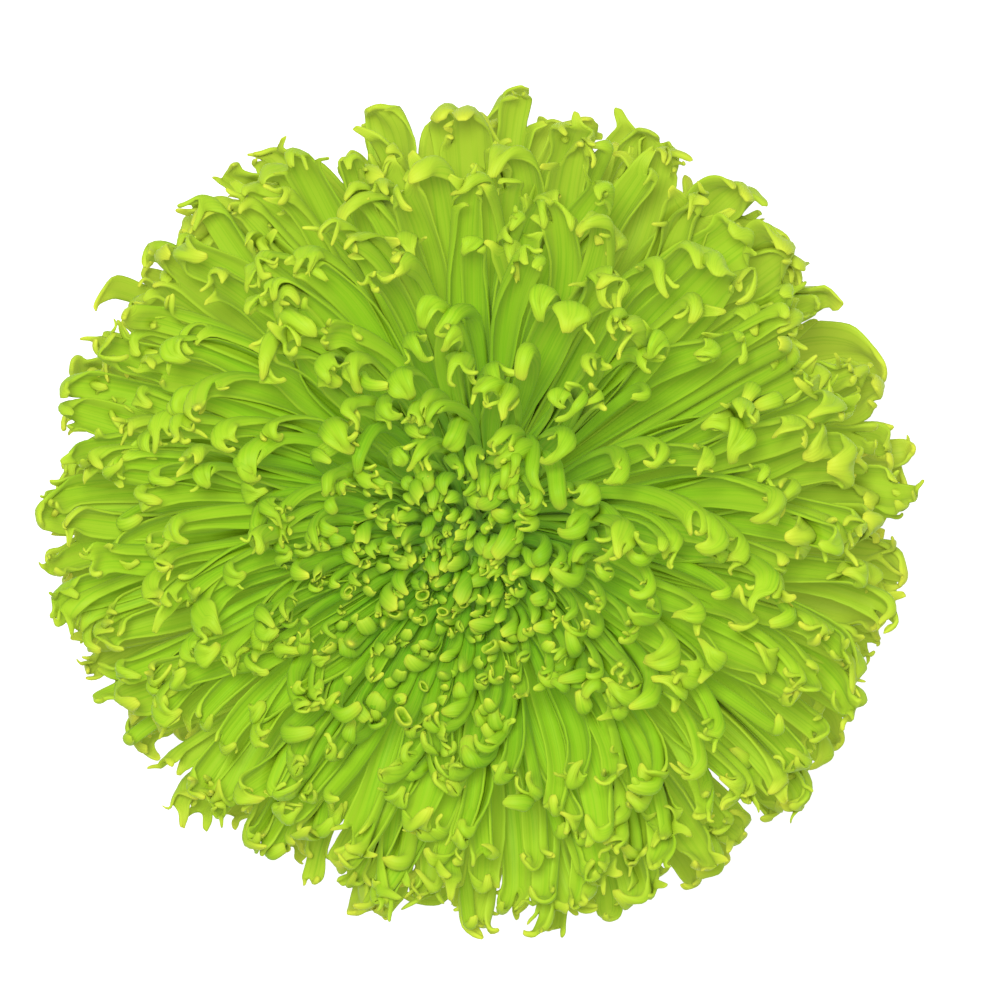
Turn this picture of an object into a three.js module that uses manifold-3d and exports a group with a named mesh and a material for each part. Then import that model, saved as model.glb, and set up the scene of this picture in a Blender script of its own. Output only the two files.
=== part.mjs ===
// A disbud chrysanthemum: one large double bloom, cut with a short stub of stem. It rests face up on
// the stub and on its lowest florets. Millimetres, +Z along the bloom's axis, origin on the surface
// under the middle of the bloom.
import * as THREE from "three";
import { mergeVertices } from "three/addons/utils/BufferGeometryUtils.js";
import Module from "manifold-3d";

const wasm = await Module();
wasm.setup();

// The bloom as a whole. Its florets fan out from the heart, a point on the axis, in one spiral that
// climbs from the rim to the eye.
const heartHeight = 24;
const goldenTurn = Math.PI * (3 - Math.sqrt(5));
const lowestElevation = -27;
const outerTopElevation = -7;
const eyeElevation = 59;
const restHeight = 0.7;

// The gap between the nodes, and how far a floret is raised, in degrees, to keep it.
const seamGap = 0.35;
const liftStep = 1.5;
const mostLift = 9;

// How far a floret may reach from the heart, and the side of the cell that it fills, by its elevation
// in degrees.
const reachProfile = [
  [-27, 56], [0, 60.5], [20, 59], [40, 51], [58, 38.5], [66, 31.5], [76, 28], [90, 26.5],
];
const cellProfile = [[-27, 10.8], [15, 10.3], [40, 8.8], [58, 7], [61, 3.4], [76, 2.7], [90, 2.2]];
const usualReach = 0.97;
const steepestElevation = 89;

// The receptacle that the florets grow on, in three bands, one for each colour of floret.
const receptacleRadius = 10.5;
const receptacleBottom = 16.8;
const receptacleFoot = 8.4;
const receptacleWaist = [10.2, 19.4];
const receptacleSeam = 23.2;
const receptacleTop = 33.8;
const receptacleSides = 20;
const receptacleRings = 4;
const eyeCoreRadius = 22;
const eyeCoreElevations = [62, 72, 81];
const eyeNeckRadius = 4.6;
const eyeCoreSides = 14;

// How the roots sit in the receptacle: packed towards its waist, sunk in, and kept off the seams.
const rootShare = 0.82;
const rootDepth = 2;
const rootRaise = 1.1;
const lowRootDrop = 1.65;
const eyeRootShare = 0.15;

// A ray floret is a channelled strap. Each of its stations is [place along it, share of its width,
// slope of its sides].
const widthShare = 0.88;
const bladeThickness = 0.95;
const strapStations = [[0, 0.12, 35], [0.45, 0.52, 38], [0.86, 1, 30]];
const archAngle = 9;
const droopAngle = -6;
const droopEasing = 0.5;

// Its tip is a hood that hooks over the channel and ends in three lobes. Shares of the strap's half width.
const hookShare = 0.7;
const hookTurn = 135;
const hookInset = 0.45;
const hoodPlace = 0.42;
const hoodEdge = { across: 0.82, raised: 0.5 };
const hoodMiddle = { across: 0.3, raised: 0.1 };
const lobeCentres = [-0.75, 0, 0.75];
const lobePlace = 0.98;

// An eye floret is a three-sided club. Its measures are shares of its cell.
const clubRoot = 0.2;
const clubHalf = 0.42;
const clubShoulder = 0.6;
const clubLean = 0.85;

// How far a floret strays from these rules, at most, to either side: degrees, or shares of the measure.
const strays = {
  elevation: 1.6, hookLength: 0.25, turn: 3, arch: 4, hook: 25, roll: 9, reach: 0.03, width: 0.12,
  leftLobe: 0.2, middleLobe: 0.2, rightLobe: 0.2,
};

// The calyx, a cup whose side is [radius, height] pairs, with rows of bracts, each up to its tips' height.
const cupSide = [[3.6, 8.8], [6.6, 10], [8.8, 12.6], [9.4, 15], [8.8, 16.4]];
const bractFoot = 9.2;
const bractTips = [12.2, 14.2, 16];
const bractsInRow = 11;
const bractProud = 0.9;
const bractThickness = 0.7;
const bractNotch = 1.3;

// The stub of stem, with ribs along it and a flat cut end.
const stemRadius = 3.2;
const stemGroove = 0.35;
const stemRibs = 9;
const stemTop = 8.4;

const colours = { outer: 0xb9cf45, ray: 0x93c62a, eye: 0x6fa61e, calyx: 0x5f8a34, stem: 0x6f9440 };

const radians = THREE.MathUtils.degToRad;
const degrees = THREE.MathUtils.radToDeg;

// A repeatable random number from -1 to 1, for floret i and purpose k.
function wobble(i, k) {
  const x = Math.sin(i * 12.9898 + k * 78.233) * 43758.5453;
  return 2 * (x - Math.floor(x)) - 1;
}

// How far this floret strays in one of the ways that strays lists.
function stray(floret, way) {
  return strays[way] * wobble(floret.i, Object.keys(strays).indexOf(way));
}

// The value at x of a profile of [x, value] pairs, in a straight line from each pair to the next.
function profile(pairs, x) {
  const next = pairs.findIndex(([edge]) => x <= edge);
  if (next <= 0) return next === 0 ? pairs[0][1] : pairs[pairs.length - 1][1];
  const [x0, y0] = pairs[next - 1];
  const [x1, y1] = pairs[next];
  return y0 + ((y1 - y0) * (x - x0)) / (x1 - x0);
}

// Every floret of the bloom, from the rim to the eye. Each takes its own cell of the dome.
function spiralOfFlorets() {
  const florets = [];
  let rise = Math.sin(radians(lowestElevation));
  for (let i = 0; rise < 1; i++) {
    const elevation = degrees(Math.asin(rise));
    const reach = profile(reachProfile, elevation);
    const cell = profile(cellProfile, elevation);
    florets.push({ i, elevation, reach, cell, turn: i * goldenTurn });
    rise += cell ** 2 / (2 * Math.PI * reach ** 2);
  }
  return florets;
}

// A direction from the axis: a turn round it and an elevation above level.
function direction(turn, elevation) {
  const level = Math.cos(radians(elevation));
  return new THREE.Vector3(level * Math.cos(turn), level * Math.sin(turn), Math.sin(radians(elevation)));
}

// A point at a distance from the heart, in the direction of a turn and an elevation.
function fromHeart(distance, turn, elevation) {
  const point = direction(turn, elevation).multiplyScalar(distance);
  point.z += heartHeight;
  return point;
}

// The line that a ray floret follows: an arc from its root to its hook, then the hook's tighter arc.
// at(s, q) gives the place and the frame at s along the strap, or at q along the hook once s is 1.
function spineOf(floret, lift) {
  const { turn, reach, cell } = floret;
  const elevation = floret.elevation + stray(floret, "elevation") + lift;
  const low = elevation < outerTopElevation;
  const root = fromHeart(receptacleRadius - rootDepth, turn, floret.elevation * rootShare);
  root.z += low ? -lowRootDrop : rootRaise;
  const hookLength = hookShare * cell * (1 + stray(floret, "hookLength"));
  const tipTurn = turn + radians(stray(floret, "turn"));
  const tipReach = reach * (usualReach + stray(floret, "reach")) - hookInset * hookLength;
  const end = fromHeart(tipReach, tipTurn, elevation);
  end.z = Math.max(end.z, restHeight);

  const arch = low ? droopAngle + droopEasing * (elevation - lowestElevation) : archAngle;
  const bend = radians(arch + stray(floret, "arch"));
  const hook = radians(hookTurn + stray(floret, "hook"));
  const roll = radians(stray(floret, "roll"));
  const chord = end.clone().sub(root);
  const length = (chord.length() * bend) / Math.sin(bend);
  const along = chord.normalize();
  const inward = direction(turn, elevation + 90);
  inward.addScaledVector(along, -inward.dot(along)).normalize();
  const side = along.clone().cross(inward);

  return function at(s, q = 0) {
    const angle = bend * (2 * s - 1);
    const place = root.clone();
    place.addScaledVector(along, (length * (Math.sin(angle) + Math.sin(bend))) / (2 * bend));
    place.addScaledVector(inward, (length * (Math.cos(bend) - Math.cos(angle))) / (2 * bend));
    const hooked = bend + hook * q;
    place.addScaledVector(along, (hookLength * (Math.sin(hooked) - Math.sin(bend))) / hook);
    place.addScaledVector(inward, (hookLength * (Math.cos(bend) - Math.cos(hooked))) / hook);
    const up = inward.clone().applyAxisAngle(side, angle + hook * q);
    const heading = along.clone().applyAxisAngle(side, angle + hook * q);
    up.applyAxisAngle(heading, roll);
    const right = side.clone().applyAxisAngle(heading, roll);
    return { place, up, right };
  };
}

// A point beside a place of a frame, so far to its right and so far up.
function beside({ place, right, up }, across, raised) {
  return place.clone().addScaledVector(right, across).addScaledVector(up, raised);
}

// A closed solid from its corners and its triangles.
function solidOf(corners, triangles) {
  const vertProperties = new Float32Array(corners.flatMap((p) => [p.x, p.y, p.z]));
  const triVerts = new Uint32Array(triangles.flat());
  return new wasm.Manifold(new wasm.Mesh({ numProp: 3, vertProperties, triVerts }));
}

// Triangles between two rings of the same number of corners, which start at the corners a and b.
function band(a, b, count) {
  const triangles = [];
  for (let j = 0; j < count; j++) {
    const k = (j + 1) % count;
    triangles.push([a + j, a + k, b + k], [a + j, b + k, b + j]);
  }
  return triangles;
}

// A strap's corners at one place: left edge, middle above, right edge, middle below.
function strapRing(frame, halfWidth, slope) {
  const across = halfWidth * Math.cos(radians(slope));
  const raised = halfWidth * Math.sin(radians(slope));
  return [
    beside(frame, -across, raised),
    beside(frame, 0, bladeThickness / 2),
    beside(frame, across, raised),
    beside(frame, 0, -bladeThickness / 2),
  ];
}

// A hood's corners: left edge, two above, right edge, two below.
function hoodRing(frame, half) {
  const edge = hoodEdge.across * half;
  const middle = hoodMiddle.across * half;
  const above = hoodMiddle.raised * half + bladeThickness / 2;
  const below = hoodMiddle.raised * half - bladeThickness / 2;
  return [
    beside(frame, -edge, hoodEdge.raised * half),
    beside(frame, -middle, above),
    beside(frame, middle, above),
    beside(frame, edge, hoodEdge.raised * half),
    beside(frame, middle, below),
    beside(frame, -middle, below),
  ];
}

// The triangles of a ray floret: three strap rings of 4 corners, the hood's ring of 6, and 3 lobes.
const rayTriangles = [
  [0, 2, 1], [0, 3, 2], ...band(0, 4, 4), ...band(4, 8, 4),
  [8, 9, 13], [8, 13, 12], [9, 14, 13], [9, 10, 15], [9, 15, 14],
  [10, 11, 16], [10, 16, 15], [11, 17, 16], [11, 8, 12], [11, 12, 17],
  [12, 13, 18], [13, 17, 18], [17, 12, 18],
  [13, 14, 19], [14, 16, 19], [16, 17, 19], [17, 13, 19],
  [14, 15, 20], [15, 16, 20], [16, 14, 20],
];

// One ray floret, a chevron in section, which ends in three lobes curled over the channel.
function rayFloret(floret, lift) {
  const at = spineOf(floret, lift);
  const half = (widthShare * floret.cell * (1 + stray(floret, "width"))) / 2;
  const lobe = (centre, way) => beside(at(1, lobePlace + stray(floret, way)), centre * half, 0);
  return solidOf(
    [
      ...strapStations.flatMap(([s, share, slope]) => strapRing(at(s), half * share, slope)),
      ...hoodRing(at(1, hoodPlace), half),
      lobe(lobeCentres[0], "leftLobe"),
      lobe(lobeCentres[1], "middleLobe"),
      lobe(lobeCentres[2], "rightLobe"),
    ],
    rayTriangles,
  );
}

// The triangles of an eye floret: a ring at its root, one at its shoulder, and its tip.
const eyeTriangles = [[0, 2, 1], ...band(0, 3, 3), [3, 4, 6], [4, 5, 6], [5, 3, 6]];

// One floret of the eye: a stubby club whose tip leans over the eye's middle.
function eyeFloret(floret, lift) {
  const { turn, cell } = floret;
  const reach = floret.reach * (usualReach + stray(floret, "reach"));
  const elevation = Math.min(steepestElevation, floret.elevation + lift);
  const rootElevation = elevation + (90 - elevation) * eyeRootShare;
  const lean = degrees((clubLean * cell) / reach);
  const up = direction(turn, elevation + 90);
  const right = new THREE.Vector3(Math.sin(turn), -Math.cos(turn), 0);
  const club = (place, size) => [
    beside({ place, right, up }, -size, size / 2),
    beside({ place, right, up }, size, size / 2),
    beside({ place, right, up }, 0, -size),
  ];
  const half = clubHalf * cell * (1 + stray(floret, "width"));
  return solidOf(
    [
      ...club(fromHeart(eyeCoreRadius - rootDepth, turn, rootElevation), clubRoot * cell),
      ...club(fromHeart(reach - clubShoulder * cell, turn, elevation), half),
      fromHeart(reach, turn, elevation + lean),
    ],
    eyeTriangles,
  );
}

// The solid that a geometry's triangles enclose.
function solidFrom(geometry) {
  geometry.deleteAttribute("normal");
  geometry.deleteAttribute("uv");
  const merged = mergeVertices(geometry, 1e-4);
  const triVerts = new Uint32Array(merged.index.array);
  const vertProperties = merged.attributes.position.array;
  return new wasm.Manifold(new wasm.Mesh({ numProp: 3, vertProperties, triVerts }));
}

// A turned solid from its profile of [radius, height] pairs, which starts and ends on the axis.
function turned(pairs, sides) {
  const points = pairs.map(([radius, height]) => new THREE.Vector2(radius, height));
  return solidFrom(new THREE.LatheGeometry(points, sides).rotateX(Math.PI / 2));
}

// The largest body of a fused solid, without loose scraps or sealed hollows.
function fuse(solids) {
  const bodies = wasm.Manifold.union(solids).decompose();
  return bodies.reduce((a, b) => (a.volume() > b.volume() ? a : b));
}

// The florets of one node, each raised in small steps until it clears the neighbouring node. One that
// can't is left out.
function clearOf(neighbour, florets, make) {
  const solids = [];
  for (const floret of florets) {
    for (let lift = 0; lift <= mostLift; lift += liftStep) {
      const solid = make(floret, lift);
      if (solid.minGap(neighbour, 2 * seamGap) > seamGap) {
        solids.push(solid);
        break;
      }
    }
  }
  return solids;
}

// The lowest band of the receptacle with the outermost florets, which droop to the surface.
function outerFlorets(florets) {
  const top = receptacleSeam - seamGap;
  const side = [[receptacleFoot, receptacleBottom], receptacleWaist, [receptacleWaist[0], top]];
  const core = turned([[0, receptacleBottom], ...side, [0, top]], receptacleSides);
  return fuse([core, ...florets.map((floret) => rayFloret(floret, 0))]);
}

// The dome of the receptacle with the florets that cover the bloom.
function rayFlorets(florets, neighbour) {
  const centre = heartHeight + rootRaise;
  const side = Array.from({ length: receptacleRings + 1 }, (_, j) => {
    const height = receptacleSeam + ((receptacleTop - receptacleSeam) * j) / receptacleRings;
    return [Math.sqrt(receptacleRadius ** 2 - (height - centre) ** 2), height];
  });
  const core = turned([[0, receptacleSeam], ...side, [0, receptacleTop]], receptacleSides);
  return fuse([core, ...clearOf(neighbour, florets, rayFloret)]);
}

// The middle of the receptacle with the youngest florets, which fill the hollow at the top of the bloom.
function eyeFlorets(florets, neighbour) {
  const bottom = receptacleTop + seamGap;
  const dome = eyeCoreElevations.map((elevation) => {
    const { x, z } = fromHeart(eyeCoreRadius, 0, elevation);
    return [x, z];
  });
  const side = [[0, bottom], [eyeNeckRadius, bottom], ...dome];
  const core = turned([...side, [0, heartHeight + eyeCoreRadius]], eyeCoreSides);
  return fuse([core, ...clearOf(neighbour, florets, eyeFloret)]);
}

// The calyx in rings of corners, from the foot of the cup to its top. Each row of bracts has a ring
// along its tips and the notches between them, and one behind those, where the next row comes out.
function calyx() {
  const count = 2 * bractsInRow;
  const radiusAt = cupSide.map(([radius, height]) => [height, radius]);
  const ring = (radiusOf, heightOf) =>
    Array.from({ length: count }, (_, j) => {
      const turn = (2 * Math.PI * j) / count;
      return direction(turn, 0).multiplyScalar(radiusOf(j)).setZ(heightOf(j));
    });
  const [footRadius, foot] = cupSide[0];
  const [topRadius, top] = cupSide[cupSide.length - 1];
  const rings = [ring(() => footRadius, () => foot)];
  rings.push(ring(() => profile(radiusAt, bractFoot), () => bractFoot));
  bractTips.forEach((tip, row) => {
    const isTip = (j) => (j + row) % 2 === 0;
    const edge = (j) => (isTip(j) ? tip : tip - bractNotch);
    const face = (j) => profile(radiusAt, edge(j)) + (isTip(j) ? bractProud : bractProud / 2);
    rings.push(ring(face, edge));
    rings.push(ring((j) => face(j) - bractThickness, edge));
  });
  rings.push(ring(() => topRadius, () => top));
  const corners = [...rings.flat(), new THREE.Vector3(0, 0, foot), new THREE.Vector3(0, 0, top)];
  const last = (rings.length - 1) * count;
  const triangles = rings.slice(1).flatMap((_, r) => band(r * count, (r + 1) * count, count));
  for (let j = 0; j < count; j++) {
    const k = (j + 1) % count;
    triangles.push([k, j, corners.length - 2], [last + j, last + k, corners.length - 1]);
  }
  return solidOf(corners, triangles);
}

// The stub of stem: a ribbed outline, pulled up from the cut end.
function stem() {
  const outline = Array.from({ length: 2 * stemRibs }, (_, j) => {
    const radius = j % 2 ? stemRadius - stemGroove : stemRadius;
    const turn = (Math.PI * j) / stemRibs;
    return new THREE.Vector2(radius * Math.cos(turn), radius * Math.sin(turn));
  });
  const options = { depth: stemTop, bevelEnabled: false };
  return solidFrom(new THREE.ExtrudeGeometry(new THREE.Shape(outline), options));
}

function meshOf(name, solid, colour) {
  const { vertProperties, triVerts } = solid.getMesh();
  const geometry = new THREE.BufferGeometry()
    .setAttribute("position", new THREE.BufferAttribute(vertProperties, 3))
    .setIndex(new THREE.BufferAttribute(triVerts, 1));
  geometry.computeVertexNormals();
  const material = new THREE.MeshStandardMaterial({ color: colour, roughness: 0.55, metalness: 0 });
  const mesh = new THREE.Mesh(geometry, material);
  mesh.name = name;
  return mesh;
}

const florets = spiralOfFlorets();
const isOuter = (floret) => floret.elevation < outerTopElevation;
const isEye = (floret) => floret.elevation >= eyeElevation;
const outer = outerFlorets(florets.filter(isOuter));
const rays = rayFlorets(florets.filter((floret) => !isOuter(floret) && !isEye(floret)), outer);
const eye = eyeFlorets(florets.filter(isEye), rays);

const flower = new THREE.Group();
flower.add(meshOf("stem", stem(), colours.stem));
flower.add(meshOf("calyx", calyx(), colours.calyx));
flower.add(meshOf("outer_florets", outer, colours.outer));
flower.add(meshOf("ray_florets", rays, colours.ray));
flower.add(meshOf("eye_florets", eye, colours.eye));

// The flower is set down so that its lowest point is on the surface and the origin is under its middle.
const extent = new THREE.Box3().setFromObject(flower);
const middle = extent.getCenter(new THREE.Vector3());
flower.position.set(-middle.x, -middle.y, -extent.min.z);

const bloom = new THREE.Group();
bloom.add(flower);

export default bloom;
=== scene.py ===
import math

import bpy
import numpy as np
from mathutils import Matrix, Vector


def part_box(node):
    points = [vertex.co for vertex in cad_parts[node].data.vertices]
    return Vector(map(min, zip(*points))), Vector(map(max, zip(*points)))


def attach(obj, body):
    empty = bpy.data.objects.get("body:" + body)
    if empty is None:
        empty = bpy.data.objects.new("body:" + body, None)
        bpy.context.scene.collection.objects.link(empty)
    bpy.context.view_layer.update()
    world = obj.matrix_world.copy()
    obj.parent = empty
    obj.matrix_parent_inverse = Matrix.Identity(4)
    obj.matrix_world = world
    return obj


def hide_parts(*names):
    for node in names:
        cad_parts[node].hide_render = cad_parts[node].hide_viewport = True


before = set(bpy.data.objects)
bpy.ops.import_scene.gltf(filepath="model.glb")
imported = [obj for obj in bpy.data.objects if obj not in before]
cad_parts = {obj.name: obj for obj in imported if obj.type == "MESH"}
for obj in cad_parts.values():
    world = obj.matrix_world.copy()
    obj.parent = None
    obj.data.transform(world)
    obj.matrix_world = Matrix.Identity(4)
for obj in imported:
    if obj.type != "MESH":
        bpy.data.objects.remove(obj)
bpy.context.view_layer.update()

# Everything below is in millimetres from the bloom's own axis, then put in the frame in metres.
mm = 0.001
stemLow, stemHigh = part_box("stem")
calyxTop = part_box("calyx")[1].z
rayLow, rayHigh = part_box("ray_florets")
axisFoot = np.array([(stemLow.x + stemHigh.x) / 2, (stemLow.y + stemHigh.y) / 2, stemLow.z]) / mm
bloomRadius = (rayHigh.x - rayLow.x + rayHigh.y - rayLow.y) / 4 / mm

# every floret points away from the heart, a point on the axis
heartAboveCalyx = 7.6
heart = np.array([0, 0, (calyxTop - stemLow.z) / mm + heartAboveCalyx])


def wobble(i, k):
    # a repeatable number from -1 to 1, for floret i and purpose k
    x = math.sin(i * 12.9898 + k * 78.233) * 43758.5453
    return 2 * (x - math.floor(x)) - 1


def lot(i, k):
    # the same from 0 to 1
    return wobble(i, k) / 2 + 0.5


def eased(pairs, x):
    return float(np.interp(x, [p[0] for p in pairs], [p[1] for p in pairs]))


def smooth(x):
    x = min(max(x, 0), 1)
    return x * x * (3 - 2 * x)


def unit(v):
    return v / math.sqrt(v @ v)


def turnAbout(v, axis, angle):
    c, s = math.cos(angle), math.sin(angle)
    return v * c + np.cross(axis, v) * s + axis * (axis @ v) * (1 - c)


def direction(turn, elevation):
    level = math.cos(math.radians(elevation))
    return np.array([level * math.cos(turn), level * math.sin(turn), math.sin(math.radians(elevation))])


def stand(thing, place, right, up, away):
    # puts a camera or lamp in the scene, looking back along away
    bpy.context.scene.collection.objects.link(thing)
    thing.matrix_world = Matrix([[right[j], up[j], away[j], place[j]] for j in range(3)] + [[0, 0, 0, 1]])


# Camera

view = {
    "tilt": 23,  # degrees off the bloom's axis
    "turn": 62,  # where the camera stands round the axis, from +X
    "distance": 620,
    "pictureWidth": 135.4,  # what the picture spans at the heart
    "aimAcross": 2.7,
    "aimUp": 2.3,
    "sensorWidth": 36,
}


def placeCamera():
    away = direction(math.radians(view["turn"]), 90 - view["tilt"])
    up = unit(np.array([0, 1, 0]) - away * away[1])
    right = np.cross(up, away)
    aim = axisFoot + heart + right * view["aimAcross"] + up * view["aimUp"]
    camera = bpy.data.objects.new("camera", bpy.data.cameras.new("camera"))
    camera.data.sensor_width = view["sensorWidth"]
    camera.data.lens = view["sensorWidth"] * view["distance"] / view["pictureWidth"]
    stand(camera, (aim + away * view["distance"]) * mm, right, up, away)
    bpy.context.scene.camera = camera
    return right, up, away


pictureRight, pictureUp, pictureAway = placeCamera()
print("camera placed")

# Light and floor

studio = {
    "skyStrength": 0.31,
    "keyWatts": 6.45,
    "keySize": 0.3,
    "keyFrom": (-0.08, 0.14, 1.0),  # right, up and towards the camera, in the picture, in metres
    "evenShare": 1.6,  # how strong the light is that fills the gaps between florets
    "evenReach": 0.001,  # how far that light looks for shade, in metres
    "floorReach": 2.0,
    "floorGrey": 0.86,
    "floorGlow": 0.65,
    "floorRoughness": 0.9,
}


def hangKeyLight():
    lamp = bpy.data.objects.new("keyLight", bpy.data.lights.new("keyLight", "AREA"))
    lamp.data.energy = studio["keyWatts"]
    lamp.data.shape = "DISK"
    lamp.data.size = studio["keySize"]
    across, rise, towards = studio["keyFrom"]
    offset = pictureRight * across + pictureUp * rise + pictureAway * towards
    away = unit(offset)
    side = unit(np.cross(pictureUp, away))
    stand(lamp, (axisFoot + heart) * mm + offset, side, np.cross(away, side), away)


def lightSky():
    world = bpy.data.worlds.new("studio")
    world.use_nodes = True
    sky = world.node_tree.nodes["Background"]
    sky.inputs["Color"].default_value = (1, 1, 1, 1)
    sky.inputs["Strength"].default_value = studio["skyStrength"]
    bpy.context.scene.world = world
    bpy.context.scene.view_settings.view_transform = "Standard"
    # light that has bounced once is spread evenly, as it is between thin petals that let it through
    bpy.context.scene.cycles.use_fast_gi = True
    bpy.context.scene.cycles.fast_gi_method = "REPLACE"
    bpy.context.scene.cycles.ao_bounces_render = 1
    world.light_settings.ao_factor = studio["evenShare"]
    world.light_settings.distance = studio["evenReach"]


def layFloor():
    reach, grey = studio["floorReach"], studio["floorGrey"]
    corners = [(-reach, -reach, 0), (reach, -reach, 0), (reach, reach, 0), (-reach, reach, 0)]
    mesh = bpy.data.meshes.new("floor")
    mesh.from_pydata(corners, [], [(0, 1, 2, 3)])
    floor = bpy.data.objects.new("floor", mesh)
    bpy.context.scene.collection.objects.link(floor)
    material = bpy.data.materials.new("paleFloor")
    material.use_nodes = True
    shader = material.node_tree.nodes["Principled BSDF"]
    shader.inputs["Base Color"].default_value = (grey, grey, grey, 1)
    shader.inputs["Roughness"].default_value = studio["floorRoughness"]
    shader.inputs["Emission Color"].default_value = (1, 1, 1, 1)
    shader.inputs["Emission Strength"].default_value = studio["floorGlow"]
    mesh.materials.append(material)


lightSky()
hangKeyLight()
layFloor()
print("studio lit")


# Finishes

class Nodes:
    # a short way to add shader nodes and join them up
    def __init__(self, name):
        self.material = bpy.data.materials.new(name)
        self.material.use_nodes = True
        self.tree = self.material.node_tree
        self.shader = self.tree.nodes["Principled BSDF"]

    def feed(self, socket, value):
        # value is another node's output, a number, a colour or a vector
        if isinstance(value, bpy.types.NodeSocket):
            self.tree.links.new(value, socket)
        elif isinstance(value, tuple) and socket.type == "RGBA":
            socket.default_value = (*value, 1)
        else:
            socket.default_value = value

    def add(self, kind, inputs=(), **settings):
        node = self.tree.nodes.new(kind)
        for key, value in settings.items():
            setattr(node, key, value)
        for key, value in dict(inputs).items():
            self.feed(node.inputs[key], value)
        return node

    def attribute(self, name):
        return self.add("ShaderNodeAttribute", attribute_name=name).outputs["Fac"]

    def math(self, operation, *values):
        return self.add("ShaderNodeMath", enumerate(values), operation=operation).outputs[0]

    def plus(self, a, b):
        return self.math("ADD", a, b)

    def minus(self, a, b):
        return self.math("SUBTRACT", a, b)

    def times(self, a, b):
        return self.math("MULTIPLY", a, b)

    def power(self, a, b):
        return self.math("POWER", a, b)

    def atLeast(self, a, b):
        return self.math("MAXIMUM", a, b)

    def atMost(self, a, b):
        return self.math("MINIMUM", a, b)

    def mix(self, factor, a, b, blend="MIX"):
        # of the node's sockets, 0 is the factor, and 6 and 7 are the two colours
        sockets = {0: factor, 6: a, 7: b}
        return self.add("ShaderNodeMix", sockets, data_type="RGBA", blend_type=blend).outputs[2]

    def ramp(self, factor, stops):
        node = self.add("ShaderNodeValToRGB", {"Fac": factor})
        elements = node.color_ramp.elements
        for j, (place, colour) in enumerate(stops):
            element = elements[j] if j < 2 else elements.new(place)
            element.position = place
            element.color = (*colour, 1)
        return node.outputs["Color"]

    def noise(self, where, scale, detail):
        inputs = {"Vector": where, "Scale": scale, "Detail": detail}
        return self.add("ShaderNodeTexNoise", inputs).outputs["Fac"]

    def stretched(self, x, y, z):
        return self.add("ShaderNodeCombineXYZ", {"X": x, "Y": y, "Z": z}).outputs[0]

    def surface(self, colour, relief, looks):
        bump = self.add("ShaderNodeBump", {"Height": relief, "Strength": looks["reliefStrength"],
                                           "Distance": looks["reliefHeight"]})
        self.feed(self.shader.inputs["Base Color"], colour)
        self.feed(self.shader.inputs["Normal"], bump.outputs[0])
        self.feed(self.shader.inputs["Roughness"], looks["roughness"])
        self.feed(self.shader.inputs["Specular IOR Level"], looks["gloss"])
        return self.material


petalLooks = {
    # the young colour is their own deeper green, made darker still as painted shade deep in the eye
    "young": (0.19, 0.485, 0.007),
    "middle": (0.405, 0.725, 0.013),
    "old": (0.45, 0.61, 0.035),
    "middleAge": 0.45,  # 0 at the top of the bloom and 1 in its lowest row
    "ageSpread": 0.16,  # how much older or younger single florets look
    "root": (0.55, 0.78, 0.30),  # multiplies the colour that it lies over: painted shade towards the root, and the dark streaks
    "rootShadeReach": 1.85,  # how strong that painted shade is at the root, where it is cut off at 1
    "rootShadeFall": 2.0,  # and how much of it is lost along the floret
    "rootShadeDepth": 0.98,
    "rootShadeFade": 0.5,  # how much weaker it is on the oldest florets
    "veinsAcross": 9.0,
    "veinsAlong": 1.2,
    "veinsApart": 40.0,  # how far apart single florets lie in the noise
    "veinScale": 1.6,
    "veinDetail": 2.0,
    "streaks": 1.1,
    "darkStreaks": -2.5,
    # painted highlight: the lit thin edges, and the lit hoods and lobes
    "edge": (0.56, 0.83, 0.04),
    "edgeNarrow": 6.0,
    "edgeLate": 2.0,
    "edgeStrength": 0.5,
    # painted highlight: how far the hoods and lobes are lit up, by their tip mark
    "tipHighlight": 0.5,
    # the yellow of the lobe ends: partly their own colour, partly painted highlight
    "tip": (0.84, 0.90, 0.06),
    "tipNarrow": 2.6,
    "tipSpread": 0.65,
    "tipLeast": 0.15,
    "ridges": 19.0,
    "reliefStrength": 0.5,
    "reliefHeight": 0.000025,
    "roughness": 0.58,
    "gloss": 0.22,
}


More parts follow.
